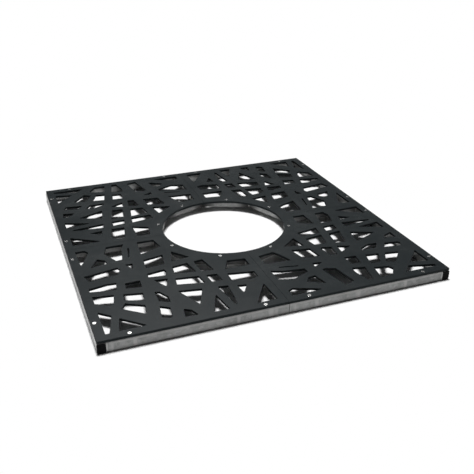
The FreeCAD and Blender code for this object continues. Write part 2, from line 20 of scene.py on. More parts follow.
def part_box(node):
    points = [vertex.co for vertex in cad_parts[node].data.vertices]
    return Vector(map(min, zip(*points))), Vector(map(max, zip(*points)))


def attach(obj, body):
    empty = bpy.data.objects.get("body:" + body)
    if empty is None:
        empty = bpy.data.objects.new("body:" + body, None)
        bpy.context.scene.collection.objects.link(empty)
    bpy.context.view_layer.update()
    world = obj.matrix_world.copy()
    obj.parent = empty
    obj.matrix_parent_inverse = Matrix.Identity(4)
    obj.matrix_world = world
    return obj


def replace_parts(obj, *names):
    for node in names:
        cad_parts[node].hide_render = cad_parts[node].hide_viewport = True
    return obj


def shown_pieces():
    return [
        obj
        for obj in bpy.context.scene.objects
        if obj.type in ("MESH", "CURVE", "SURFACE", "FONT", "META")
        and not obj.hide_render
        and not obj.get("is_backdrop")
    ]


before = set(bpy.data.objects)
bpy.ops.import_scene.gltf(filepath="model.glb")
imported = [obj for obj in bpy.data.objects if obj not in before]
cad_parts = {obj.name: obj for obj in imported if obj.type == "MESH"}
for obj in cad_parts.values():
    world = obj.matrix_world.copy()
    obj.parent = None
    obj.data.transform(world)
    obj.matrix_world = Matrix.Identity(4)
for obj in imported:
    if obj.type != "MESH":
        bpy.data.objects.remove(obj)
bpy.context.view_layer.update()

log = logging.getLogger("tree_grate")

Colour = tuple[float, float, float]
Point = tuple[float, float, float]
Socket = bpy.types.NodeSocket
Surface = tuple[dict[str, object], Socket]

MM = 0.001
WHITE: Colour = (1.0, 1.0, 1.0)

# The way from one node to the next in the node editor.
NODE_STEP = 220

# The body that the frame's own pieces ride on.
FRAME_BODY = "frame"

# How the names of a cover's two pieces start: the plate and its screws.
COVER_PIECES = ("coated_plate", "cover_screws")


class Slot(str, Enum):
    """The record's material slots."""

    COATING = "plate_coating"
    ZINC = "zinc"
    BRIGHT = "bright_steel"
    PLATED = "zinc_plate"
    PLASTIC = "plug_plastic"


class Quarter(str, Enum):
    """The four quarters of the grate."""

    FRONT_LEFT = "front_left"
    FRONT_RIGHT = "front_right"
    BACK_LEFT = "back_left"
    BACK_RIGHT = "back_right"

    @property
    def body(self) -> str:
        """The body that this quarter's cover plate rides on."""
        return f"cover_{self.value}"


class Side(str, Enum):
    """The two halves of the frame."""

    LEFT = "left"
    RIGHT = "right"


class Octant(str, Enum):
    """The eight straight tubes of the ring under the trunk hole's rim."""

    RIGHT_BACK = "right_back"
    BACK_RIGHT = "back_right"
    BACK_LEFT = "back_left"
    LEFT_BACK = "left_back"
    LEFT_FRONT = "left_front"
    FRONT_LEFT = "front_left"
    FRONT_RIGHT = "front_right"
    RIGHT_FRONT = "right_front"


class Run(Enum):
    """The way a tube runs, which its drawing lines follow."""

    ALONG_X = "along_x"
    ALONG_Y = "along_y"
    ROUND = "round"


class Blend(Enum):
    """What a Mix node mixes: its data type, and how the names of its sockets end."""

    VALUE = ("FLOAT", "Float")
    COLOUR = ("RGBA", "Color")


class NodeDesk:
    """Lays out the nodes of one shader tree from left to right.

    Attributes:
        tree: The node tree.
    """

    def __init__(self, tree: bpy.types.NodeTree) -> None:
        """Takes a tree and empties it.

        Args:
            tree: The material's, group's or world's node tree.
        """
        self.tree = tree
        self.tree.nodes.clear()

    def add(self, kind: str, values: dict[str | int, object] | None = None,
            **options: object) -> bpy.types.Node:
        """Adds a node, sets its options and fills or links its inputs.

        Args:
            kind: The node's type, without the ShaderNode prefix.
            values: What goes into each named or numbered input: a socket is linked, a value is set.
            options: The node's own options.

        Returns:
            The new node.
        """
        node = self.tree.nodes.new("ShaderNode" + kind)
        node.location = (NODE_STEP * len(self.tree.nodes), 0)
        for option, choice in options.items():
            setattr(node, option, choice)
        for name, value in (values or {}).items():
            self.fill(node.inputs[name], value)
        return node

    def fill(self, socket: Socket, value: object) -> None:
        """Links a socket to an input, or sets the input's value.

        Args:
            socket: The input.
            value: A socket to link from, or the value to set.
        """
        if isinstance(value, Socket):
            self.tree.links.new(value, socket)
        elif socket.type == "RGBA":
            socket.default_value = (*value, 1.0)
        else:
            socket.default_value = value

    def parts(self, vector: object) -> dict[str, Socket]:
        """Splits a vector into its X, Y and Z."""
        return dict(self.add("SeparateXYZ", {"Vector": vector}).outputs.items())

    def maths(self, operation: str, *values: object) -> Socket:
        """Adds a Math node.

        Args:
            operation: The node's operation.
            values: Its inputs, in order.

        Returns:
            The result's socket.
        """
        return self.add("Math", dict(enumerate(values)), operation=operation).outputs[0]

    def vector(self, operation: str, *values: object) -> Socket:
        """Adds a Vector Math node.

        Args:
            operation: The node's operation.
            values: Its inputs, in order.

        Returns:
            The socket of the vector that it gives.
        """
        return self.add("VectorMath", dict(enumerate(values)), operation=operation).outputs["Vector"]

    def total(self, *shares: tuple[Socket, float]) -> Socket:
        """Adds up values, each by its share.

        Args:
            shares: The values with their shares.

        Returns:
            The sum's socket.
        """
        (value, share), *others = reversed(shares)
        result = self.maths("MULTIPLY", value, share)
        for value, share in others:
            result = self.maths("MULTIPLY_ADD", value, share, result)
        return result

    def spread(self, value: object, start: object, end: object, low: object = 0.0,
               high: object = 1.0) -> Socket:
        """Spreads a value from one range to another and holds it at the ends.

        Args:
            value: What is spread.
            start: The start of the old range.
            end: The end of the old range.
            low: What the start becomes.
            high: What the end becomes.

        Returns:
            The spread value's socket.
        """
        return self.add("MapRange", {"Value": value, "From Min": start, "From Max": end,
                                     "To Min": low, "To Max": high}).outputs["Result"]

    def between(self, value: object, low: float, high: float) -> Socket:
        """Spreads a value from 0 to 1 between two ends."""
        return self.spread(value, 0.0, 1.0, low, high)

    def mix(self, factor: object, first: object, second: object, blend: Blend = Blend.COLOUR) -> Socket:
        """Mixes two colours or two values.

        Args:
            factor: How much of the second one shows.
            first: The one at factor 0.
            second: The one at factor 1.
            blend: Whether colours or values are mixed.

        Returns:
            The mixture's socket.
        """
        kind, ending = blend.value
        node = self.add("Mix", data_type=kind)
        sockets = {socket.identifier: socket for socket in node.inputs}
        for label, value in (("Factor_Float", factor), (f"A_{ending}", first), (f"B_{ending}", second)):
            self.fill(sockets[label], value)
        return next(socket for socket in node.outputs if socket.identifier == f"Result_{ending}")

    def noise(self, vector: object, scale: object, detail: float = 2.0, roughness: float = 0.5) -> Socket:
        """Adds a noise.

        Args:
            vector: Where the noise is read.
            scale: Its grains per metre.
            detail: How many finer layers it has.
            roughness: How strong the finer layers are.

        Returns:
            The noise value's socket.
        """
        return self.add("TexNoise", {"Vector": vector, "Scale": scale, "Detail": detail,
                                     "Roughness": roughness}).outputs["Fac"]

    def wander(self, value: Socket, waver: float, noise: Socket) -> Socket:
        """Lets a value wander upwards by a noise, by half the waver on average."""
        return self.maths("MULTIPLY_ADD", noise, waver, value)

    def cells(self, vector: object, scale: object, output: str) -> Socket:
        """Adds a cell pattern.

        Args:
            vector: Where the pattern is read.
            scale: Its cells per metre.
            output: The output that is wanted: Distance, Color or Position.

        Returns:
            That output's socket.
        """
        return self.add("TexVoronoi", {"Vector": vector, "Scale": scale}).outputs[output]


class Effect:
    """A shader node group that finishes share, with named inputs and outputs that are plain values.

    Attributes:
        group: The node group.
        desk: Its node desk.
        taken: What it takes in, as sockets to link from.
        given: What it puts out, as sockets to link to.
    """

    def __init__(self, name: str, takes: Iterable[str], gives: Iterable[str]) -> None:
        """Makes the group's sockets. Its first input is always the place on the surface.

        Args:
            name: The group's name.
            takes: The names of its other inputs.
            gives: The names of its outputs.
        """
        self.group = bpy.data.node_groups.new(name, "ShaderNodeTree")
        self.desk = NodeDesk(self.group)
        face = self.group.interface
        face.new_socket("Place", in_out="INPUT", socket_type="NodeSocketVector")
        for label in takes:
            face.new_socket(label, in_out="INPUT", socket_type="NodeSocketFloat")
        for label in gives:
            face.new_socket(label, in_out="OUTPUT", socket_type="NodeSocketFloat")
        self.taken = self.group.nodes.new("NodeGroupInput").outputs
        self.given = self.group.nodes.new("NodeGroupOutput").inputs

    def give(self, label: str, socket: Socket) -> None:
        """Leads a value to one of the group's outputs."""
        self.group.links.new(socket, self.given[label])

    def put(self, desk: NodeDesk, place: Socket, **values: float) -> dict[str, Socket]:
        """Puts the group into a material.

        Args:
            desk: The material's node desk.
            place: The place on the surface.
            values: The group's other inputs, by name.

        Returns:
            The group node's output sockets, by name.
        """
        node = desk.add("Group", {"Place": place, **values}, node_tree=self.group)
        return dict(node.outputs.items())


class Effects:
    """The effects that the finishes of the grate share."""

    def __init__(self) -> None:
        """Builds every effect once."""
        self.clouding = self._clouding()
        self.grain = self._grain()
        self.spangle = self._spangle()
        self.lines = self._lines()
        self.dust = self._dust()
        self.foot = self._painted_foot_shade()
        self.edge_highlight = self._edge_highlight()
        self.runs = self._runs()

    def _clouding(self) -> Effect:
        """Makes slow drifts of tone with finer flecks in them.

        Returns:
            The effect.
        """
        made = Effect("tone_clouding", ["Patches", "Flecks"], ["Tone"])
        desk, place = made.desk, made.taken["Place"]
        slow = desk.noise(place, made.taken["Patches"], detail=3.0, roughness=0.55)
        fine = desk.noise(place, made.taken["Flecks"], detail=1.0)
        made.give("Tone", desk.spread(desk.total((fine, 0.3), (slow, 0.7)), start=0.34, end=0.66))
        return made

    def _grain(self) -> Effect:
        """Makes the fine pebbling of a baked coating or of moulded plastic.

        Returns:
            The effect.
        """
        made = Effect("fine_grain", ["Grains"], ["Height"])
        desk, place = made.desk, made.taken["Place"]
        coarser, sunk = 0.31, -0.6
        pebbles = desk.cells(place, made.taken["Grains"], "Distance")
        swell = desk.noise(place, desk.maths("MULTIPLY", made.taken["Grains"], coarser))
        made.give("Height", desk.maths("MULTIPLY_ADD", pebbles, sunk, swell))
        return made

    def _spangle(self) -> Effect:
        """Makes the crystals that zinc freezes into, each with its own tone, and their low rims.

        Returns:
            The effect.
        """
        made = Effect("zinc_spangle", ["Crystals"], ["Tone", "Height"])
        desk, place, crystals = made.desk, made.taken["Place"], made.taken["Crystals"]
        waver, finer = 6.0 * MM, 4.0
        turbid = desk.add("TexNoise", {"Vector": place, "Scale": 160.0, "Detail": 2.0}).outputs["Color"]
        bent = desk.vector("MULTIPLY_ADD", turbid, (waver, waver, waver), place)
        tint = desk.add("SeparateColor", {"Color": desk.cells(bent, crystals, "Color")}).outputs["Red"]
        rim = desk.cells(bent, crystals, "Distance")
        feather = desk.noise(bent, desk.maths("MULTIPLY", crystals, finer), detail=3.0, roughness=0.6)
        made.give("Tone", desk.total((feather, 0.45), (tint, 0.55)))
        made.give("Height", desk.maths("SUBTRACT", feather, rim))
        return made

    def _lines(self) -> Effect:
        """Makes the fine lines that drawing or wiping leaves, along a place already stretched.

        Returns:
            The effect.
        """
        made = Effect("drawn_lines", ["Fineness"], ["Line"])
        desk, place, fineness = made.desk, made.taken["Place"], made.taken["Fineness"]
        finer = 3.7
        broad = desk.noise(place, fineness, detail=2.0, roughness=0.6)
        thin = desk.noise(place, desk.maths("MULTIPLY", fineness, finer), detail=1.0)
        made.give("Line", desk.total((thin, 0.4), (broad, 0.6)))
        return made

    def _dust(self) -> Effect:
        """Makes thin dust that settles on faces that look up, and the mask of those faces.

        Returns:
            The effect.
        """
        made = Effect("settled_dust", ["Patches", "Amount"], ["Dust", "Upward"])
        desk, place = made.desk, made.taken["Place"]
        normal = desk.add("NewGeometry").outputs["Normal"]
        upward = desk.spread(desk.parts(normal)["Z"], start=0.3, end=0.95)
        patches = desk.noise(place, made.taken["Patches"], detail=6.0, roughness=0.62)
        drift = desk.spread(patches, start=0.42, end=0.72)
        settled = desk.maths("MULTIPLY", upward, drift)
        made.give("Upward", upward)
        made.give("Dust", desk.maths("MULTIPLY", settled, made.taken["Amount"]))
        return made

    def _painted_foot_shade(self) -> Effect:
        """Makes the painted shade along the foot of a standing tube, where the contact shadow falls and
        is mirrored.

        Returns:
            The effect.
        """
        made = Effect("foot_stain", ["Reach", "Amount"], ["Stain"])
        desk, place = made.desk, made.taken["Place"]
        waver = 4.0 * MM
        noise = desk.noise(place, scale=95.0, detail=4.0, roughness=0.6)
        height = desk.wander(desk.parts(place)["Z"], waver, noise)
        reach = desk.maths("ADD", made.taken["Reach"], waver / 2)
        low = desk.spread(height, waver / 2, reach, 1.0, 0.0)
        made.give("Stain", desk.maths("MULTIPLY", low, made.taken["Amount"]))
        return made

    def _edge_highlight(self) -> Effect:
        """Makes a painted highlight that lightens a tube's upper edge, from a distance from the middle
        outwards.

        Returns:
            The effect.
        """
        made = Effect("rubbed_edge", ["Height", "Reach", "Amount"], ["Rub"])
        desk, place = made.desk, made.taken["Place"]
        waver, blur = 3.0 * MM, 4.0 * MM
        part = desk.parts(place)
        noise = desk.noise(place, scale=120.0, detail=3.0, roughness=0.6)
        height = desk.wander(part["Z"], waver, noise)
        start = desk.maths("ADD", made.taken["Height"], waver / 2)
        end = desk.maths("ADD", made.taken["Height"], waver / 2 + blur)
        far = desk.maths("MAXIMUM", desk.maths("ABSOLUTE", part["X"]), desk.maths("ABSOLUTE", part["Y"]))
        outer = desk.maths("GREATER_THAN", far, made.taken["Reach"])
        upper = desk.maths("MULTIPLY", desk.spread(height, start, end), outer)
        made.give("Rub", desk.maths("MULTIPLY", upper, made.taken["Amount"]))
        return made

    def _runs(self) -> Effect:
        """Makes upright runs where zinc drained off a tube and froze thicker.

        Returns:
            The effect.
        """
        made = Effect("zinc_runs", ["Pitch", "Amount"], ["Run"])
        desk, place = made.desk, made.taken["Place"]
        upright = desk.vector("MULTIPLY", place, (1.0, 1.0, 0.06))
        streaks = desk.noise(upright, made.taken["Pitch"], detail=1.0)
        run = desk.spread(streaks, start=0.59, end=0.67)
        made.give("Run", desk.maths("MULTIPLY", run, made.taken["Amount"]))
        return made


@dataclass(frozen=True)
class Dressing:
    """A finish that has been made into a material.

    Attributes:
        material: The material.
        slot: The record's slot that it belongs to.
    """

    material: bpy.types.Material
    slot: Slot


@dataclass(frozen=True)
class Finish:
    """What every finish of the grate has.

    Attributes:
        name: The material's name.
        slot: The record's slot that the finish belongs to.
        dark: The colour where the tone is lowest.
        light: The colour where the tone is highest.
        depth: How deep the surface detail is.
    """

    name: str
    slot: Slot
    dark: Colour
    light: Colour
    depth: float = 0.05 * MM

    def make(self, effects: Effects) -> Dressing:
        """Builds the material.

        Args:
            effects: The shared effects.

        Returns:
            The material with its slot.
        """
        material = bpy.data.materials.new(self.name)
        material.use_nodes = True
        desk = NodeDesk(material.node_tree)
        values, height = self._surface(desk, desk.add("TexCoord").outputs["Object"], effects)
        bump = desk.add("Bump", {"Height": height, "Distance": self.depth, "Strength": 1.0})
        shader = desk.add("BsdfPrincipled", {**values, "Normal": bump.outputs["Normal"]})
        desk.add("OutputMaterial", {"Surface": shader.outputs[0]})
        return Dressing(material, self.slot)

    def _surface(self, desk: NodeDesk, place: Socket, effects: Effects) -> Surface:
        """Works out the surface, as each kind of finish does in its own way.

        Args:
            desk: The material's node desk.
            place: The place on the surface.
            effects: The shared effects.

        Returns:
            The surface shader's inputs, and the height of the surface detail from 0 to 1.
        """
        raise NotImplementedError


@dataclass(frozen=True)
class CoatingFinish(Finish):
    """Baked powder coating: matt, finely pebbled, with slow drifts of tone and a breath of dust.

    Attributes:
        dust: The colour of the dust.
        dust_rough: How much rougher full dust is.
        grains: Pebbles per metre.
        smooth: The lowest roughness of the clean upper face.
        rough: The highest roughness of the clean upper face.
        cut_edge: How much rougher the coating is on the plate's cut edges.
        specular: How strongly the coating mirrors.
    """

    depth: float = 0.03 * MM
    dust: Colour = (0.16, 0.165, 0.16)
    dust_rough: float = 0.4
    grains: float = 1150.0
    smooth: float = 0.22
    rough: float = 0.27
    cut_edge: float = 0.38
    specular: float = 0.06

    def _surface(self, desk: NodeDesk, place: Socket, effects: Effects) -> Surface:
        """Works out the coating's surface.

        Args:
            desk: The material's node desk.
            place: The place on the surface.
            effects: The shared effects.

        Returns:
            The surface shader's inputs, and the height of the pebbling.
        """
        tone = effects.clouding.put(desk, place, Patches=5.0, Flecks=420.0)["Tone"]
        grain = effects.grain.put(desk, place, Grains=self.grains)["Height"]
        settled = effects.dust.put(desk, place, Patches=9.0, Amount=0.05)
        colour = desk.mix(settled["Dust"], desk.mix(tone, self.dark, self.light), self.dust)
        clean = desk.between(tone, self.smooth, self.rough)
        dusty = desk.maths("MULTIPLY_ADD", settled["Dust"], self.dust_rough, clean)
        rough = desk.maths("ADD", dusty, desk.between(settled["Upward"], self.cut_edge, 0.0))
        return {"Base Color": colour, "Roughness": rough, "Metallic": 0.0,
                "Specular IOR Level": self.specular}, grain


@dataclass(frozen=True)
class ZincFinish(Finish):
    """Zinc on steel tube: frozen crystals, drawing lines along the tube and slow clouding, with painted
    shade along the foot, at the ring's corners and on its outer side, and a painted highlight along the
    upper edge.

    Attributes:
        run: The way the tube runs.
        stretch: What a straight tube's length shrinks to where its drawing lines are read, as a share.
        stretch_round: What a radian of the ring becomes there, in metres.
        crystals: Crystals per metre.
        foot: How high the painted shade along the tube's foot reaches.
        shade_and_stain: The colour of the painted shade along the foot and on the ring's outer side, and
            of the dull line along a ground weld's edge.
        bare_and_highlight: The colour of zinc that is freshly ground, also taken by the runs and by the
            painted highlight along the upper edge.
        ground_from: Where the ground weld at the end of a rail starts, from the middle, or None.
        ground_polish: How much smoother the ground zinc is.
        corner_shade_colour: The colour of the painted shade at the ring's corners.
        corner_shade: How far that painted shade reaches from each corner of the ring, in degrees round
            it, or None.
        outer_shade: How far painted shade darkens the ring's outer side, under the plates.
        outer_shade_from: The radius where that painted shade starts.
        outer_shade_width: How far from there it is full.
        edge_highlight: How far the painted highlight lightens the upper edge.
        edge_highlight_from: The height where that painted highlight starts.
        edge_highlight_outside: How far from the middle of the grate it starts.
        runs: How far upright runs take the colour of freshly ground zinc.
        metal: How far the zinc mirrors as metal does.
        rough: The highest roughness.
        polish: How much smoother the palest crystals are.
    """

    depth: float = 0.06 * MM
    run: Run = Run.ALONG_X
    stretch: float = 0.03
    stretch_round: float = 0.01
    crystals: float = 95.0
    foot: float = 14.5 * MM
    shade_and_stain: Colour = (0.07, 0.072, 0.07)
    bare_and_highlight: Colour = (0.34, 0.34, 0.335)
    ground_from: float | None = None
    ground_polish: float = 0.08
    corner_shade_colour: Colour = (0.012, 0.012, 0.012)
    corner_shade: float | None = None
    outer_shade: float = 0.0
    outer_shade_from: float = 0.256
    outer_shade_width: float = 10.0 * MM
    edge_highlight: float = 0.0
    edge_highlight_from: float = 26.5 * MM
    edge_highlight_outside: float = 0.0
    runs: float = 0.0
    metal: float = 0.75
    rough: float = 0.52
    polish: float = 0.16

    def _turn(self, desk: NodeDesk, place: Socket) -> Socket:
        """Measures the angle of a place round the trunk hole."""
        part = desk.parts(place)
        return desk.maths("ARCTAN2", part["Y"], part["X"])

    def _radius(self, desk: NodeDesk, place: Socket) -> Socket:
        """Measures how far a place is from the middle of the trunk hole."""
        flat = desk.vector("MULTIPLY", place, (1.0, 1.0, 0.0))
        return desk.add("VectorMath", {0: flat}, operation="LENGTH").outputs["Value"]

    def _stretched(self, desk: NodeDesk, place: Socket) -> Socket:
        """Stretches the place along the tube, so that a noise there makes lines.

        Args:
            desk: The material's node desk.
            place: The place on the surface.

        Returns:
            The stretched place.
        """
        if self.run is Run.ROUND:
            along = desk.maths("MULTIPLY", self._turn(desk, place), self.stretch_round)
            return desk.add("CombineXYZ", {"X": self._radius(desk, place), "Y": along,
                                           "Z": desk.parts(place)["Z"]}).outputs["Vector"]
        along_x = self.run is Run.ALONG_X
        stretch = (self.stretch, 1.0, 1.0) if along_x else (1.0, self.stretch, 1.0)
        return desk.vector("MULTIPLY", place, stretch)

    def _ground(self, desk: NodeDesk, place: Socket) -> tuple[Socket, Socket]:
        """Masks the strip at the end of a rail where its weld is ground flush.

        Args:
            desk: The material's node desk.
            place: The place on the surface.

        Returns:
            The strip's mask, and the mask of the dull line along its wandering edge.
        """
        waver, blur = 3.0 * MM, 0.6 * MM
        across = desk.maths("ABSOLUTE", desk.parts(place)["X"])
        edge = desk.wander(across, waver, desk.noise(place, scale=130.0, detail=3.0))
        start = self.ground_from + waver / 2
        strip = desk.spread(edge, start - blur, start + blur)
        away = desk.maths("ABSOLUTE", desk.maths("SUBTRACT", edge, start))
        return strip, desk.spread(away, start=0.4 * MM, end=1.8 * MM, low=0.5, high=0.0)

    def _corner_shade_mask(self, desk: NodeDesk, place: Socket) -> Socket:
        """Masks the painted shade at the ring's corners, beside the welds, where the corners stand back
        under the plate.

        Args:
            desk: The material's node desk.
            place: The place on the surface.

        Returns:
            The mask.
        """
        waver = 0.02
        near, far = waver / 2, waver / 2 + math.radians(self.corner_shade)
        corner = desk.maths("PINGPONG", self._turn(desk, place), math.pi / len(Octant))
        away = desk.wander(corner, waver, desk.noise(place, scale=60.0, detail=3.0))
        return desk.spread(desk.maths("MULTIPLY", away, away), near * near, far * far, low=0.94, high=0.0)

    def _surface(self, desk: NodeDesk, place: Socket, effects: Effects) -> Surface:
        """Works out the zinc's surface.

        Args:
            desk: The material's node desk.
            place: The place on the surface.
            effects: The shared effects.

        Returns:
            The surface shader's inputs, and the height of the crystals and lines.
        """
        spangle = effects.spangle.put(desk, place, Crystals=self.crystals)
        cloud = effects.clouding.put(desk, place, Patches=7.0, Flecks=260.0)["Tone"]
        line = effects.lines.put(desk, self._stretched(desk, place), Fineness=420.0)["Line"]
        shades = desk.total((spangle["Tone"], 0.5), (cloud, 0.35), (line, 0.15))
        tone = desk.spread(shades, start=0.22, end=0.78)
        # Painted shade: the foot of the tube is darkened where the contact shadow falls and is mirrored.
        shade_and_stain = effects.foot.put(desk, place, Reach=self.foot, Amount=0.75)["Stain"]
        colour = desk.mix(tone, self.dark, self.light)
        if self.runs:
            run = effects.runs.put(desk, place, Pitch=34.0, Amount=self.runs)["Run"]
            colour = desk.mix(run, colour, self.bare_and_highlight)
        # Painted highlight: the upper edge is lightened where its rounding catches the light from above.
        if self.edge_highlight:
            edge_highlight = effects.edge_highlight.put(desk, place, Height=self.edge_highlight_from, Reach=self.edge_highlight_outside,
                                  Amount=self.edge_highlight)["Rub"]
            colour = desk.mix(edge_highlight, colour, self.bare_and_highlight)
        colour = desk.mix(shade_and_stain, colour, self.shade_and_stain)
        rough = desk.between(tone, self.rough, self.rough - self.polish)
        if self.ground_from is not None:
            ground, edge = self._ground(desk, place)
            upright = desk.vector("MULTIPLY", place, (1.0, 1.0, 0.04))
            scratch = effects.lines.put(desk, upright, Fineness=700.0)["Line"]
            bright = desk.mix(shade_and_stain, desk.mix(scratch, self.light, self.bare_and_highlight), self.shade_and_stain)
            colour = desk.mix(edge, desk.mix(ground, colour, bright), self.shade_and_stain)
            rough = desk.maths("MULTIPLY_ADD", ground, -self.ground_polish, rough)
        # Painted shade: the ring's outer side, under the plates, is darkened.
        if self.outer_shade:
            outer = desk.spread(self._radius(desk, place), self.outer_shade_from,
                                self.outer_shade_from + self.outer_shade_width, low=0.0, high=self.outer_shade)
            colour = desk.mix(outer, colour, self.shade_and_stain)
        # Painted shade: the ring is darkened toward its corners, which stand back under the plate.
        if self.corner_shade is not None:
            colour = desk.mix(self._corner_shade_mask(desk, place), colour, self.corner_shade_colour)
        height = desk.total((line, 0.5), (spangle["Height"], 0.6))
        return {"Base Color": colour, "Roughness": rough, "Metallic": self.metal}, height


@dataclass(frozen=True)
class BrightFinish(Finish):
    """Bright metal of small hardware: turned or plated, with fine scratches and a drift of tone.

    Attributes:
        smooth: The lowest roughness.
        rough: The highest roughness.
    """

    depth: float = 0.015 * MM
    smooth: float = 0.14
    rough: float = 0.26

    def _surface(self, desk: NodeDesk, place: Socket, effects: Effects) -> Surface:
        """Works out the metal's surface.

        Args:
            desk: The material's node desk.
            place: The place on the surface.
            effects: The shared effects.

        Returns:
            The surface shader's inputs, and the height of the scratches.
        """
        cloud = effects.clouding.put(desk, place, Patches=60.0, Flecks=900.0)["Tone"]
        turned = desk.vector("MULTIPLY", place, (1.0, 0.12, 1.0))
        line = effects.lines.put(desk, turned, Fineness=1500.0)["Line"]
        tone = desk.spread(desk.total((line, 0.4), (cloud, 0.6)), start=0.2, end=0.8)
        return {"Base Color": desk.mix(tone, self.dark, self.light),
                "Roughness": desk.between(tone, self.rough, self.smooth), "Metallic": 1.0}, line


@dataclass(frozen=True)
class PlasticFinish(Finish):
    """Black moulded plastic: fine spark texture and a slightly dusty tone.

    Attributes:
        grains: Grains of the texture per metre.
        smooth: The lowest roughness.
        rough: The highest roughness.
        specular: How strongly the plastic mirrors.
    """

    grains: float = 1900.0
    smooth: float = 0.5
    rough: float = 0.62
    specular: float = 0.05

    def _surface(self, desk: NodeDesk, place: Socket, effects: Effects) -> Surface:
        """Works out the plastic's surface.

        Args:
            desk: The material's node desk.
            place: The place on the surface.
            effects: The shared effects.

        Returns:
            The surface shader's inputs, and the height of the texture.
        """
        tone = effects.clouding.put(desk, place, Patches=40.0, Flecks=800.0)["Tone"]
        grain = effects.grain.put(desk, place, Grains=self.grains)["Height"]
        return {"Base Color": desk.mix(tone, self.dark, self.light),
                "Roughness": desk.between(tone, self.rough, self.smooth), "Metallic": 0.0,
                "Specular IOR Level": self.specular}, grain


class Palette:
    """Every finish of the grate, made once."""

    def __init__(self) -> None:
        """Builds the shared effects and the materials."""
        effects = Effects()
        rim = {"slot": Slot.ZINC, "dark": (0.165, 0.169, 0.167), "light": (0.285, 0.289, 0.285),
               "edge_highlight_outside": 0.59}
        # The inner bars' zinc is a darker copy of the rim tubes' zinc: painted shade for the bars under
        # the plates, with a weak painted highlight along their upper edge.
        inner = {"slot": Slot.ZINC, "dark": (0.086, 0.088, 0.087), "light": (0.15, 0.152, 0.15),
                 "edge_highlight": 0.15}
        self.coating = CoatingFinish("powder_coating", Slot.COATING, (0.0138, 0.0174, 0.0188),
                                     (0.0178, 0.0218, 0.0234)).make(effects)
        # The rails and side tubes carry a painted highlight along their upper edge.
        self.rail = ZincFinish("rail_zinc", **rim, run=Run.ALONG_X, ground_from=0.566, edge_highlight=0.8,
                               runs=0.8).make(effects)
        self.tube = ZincFinish("side_tube_zinc", **rim, run=Run.ALONG_Y, edge_highlight=1.0,
                               runs=0.3).make(effects)
        self.cross_bar = ZincFinish("cross_bar_zinc", **inner, run=Run.ALONG_X).make(effects)
        self.split_bar = ZincFinish("split_bar_zinc", **inner, run=Run.ALONG_Y).make(effects)
        # The ring carries painted shade at its corners and on its outer side.
        self.ring = ZincFinish("ring_zinc", Slot.ZINC, (0.19, 0.194, 0.192), (0.33, 0.334, 0.33),
                               run=Run.ROUND, corner_shade=12.0, outer_shade=0.62, metal=0.2, rough=0.8).make(effects)
        self.weld = ZincFinish("weld_zinc", Slot.ZINC, (0.16, 0.16, 0.156), (0.33, 0.33, 0.32),
                               run=Run.ROUND, crystals=240.0).make(effects)
        self.screw = BrightFinish("screw_steel", Slot.BRIGHT, (0.5, 0.5, 0.49),
                                  (0.72, 0.72, 0.71)).make(effects)
        self.plated = BrightFinish("plated_hardware", Slot.PLATED, (0.44, 0.44, 0.42), (0.62, 0.62, 0.6),
                                   smooth=0.28, rough=0.44).make(effects)
        self.plastic = PlasticFinish("plug_plastic", Slot.PLASTIC, (0.0022, 0.0022, 0.0023),
                                     (0.0042, 0.0042, 0.0044)).make(effects)


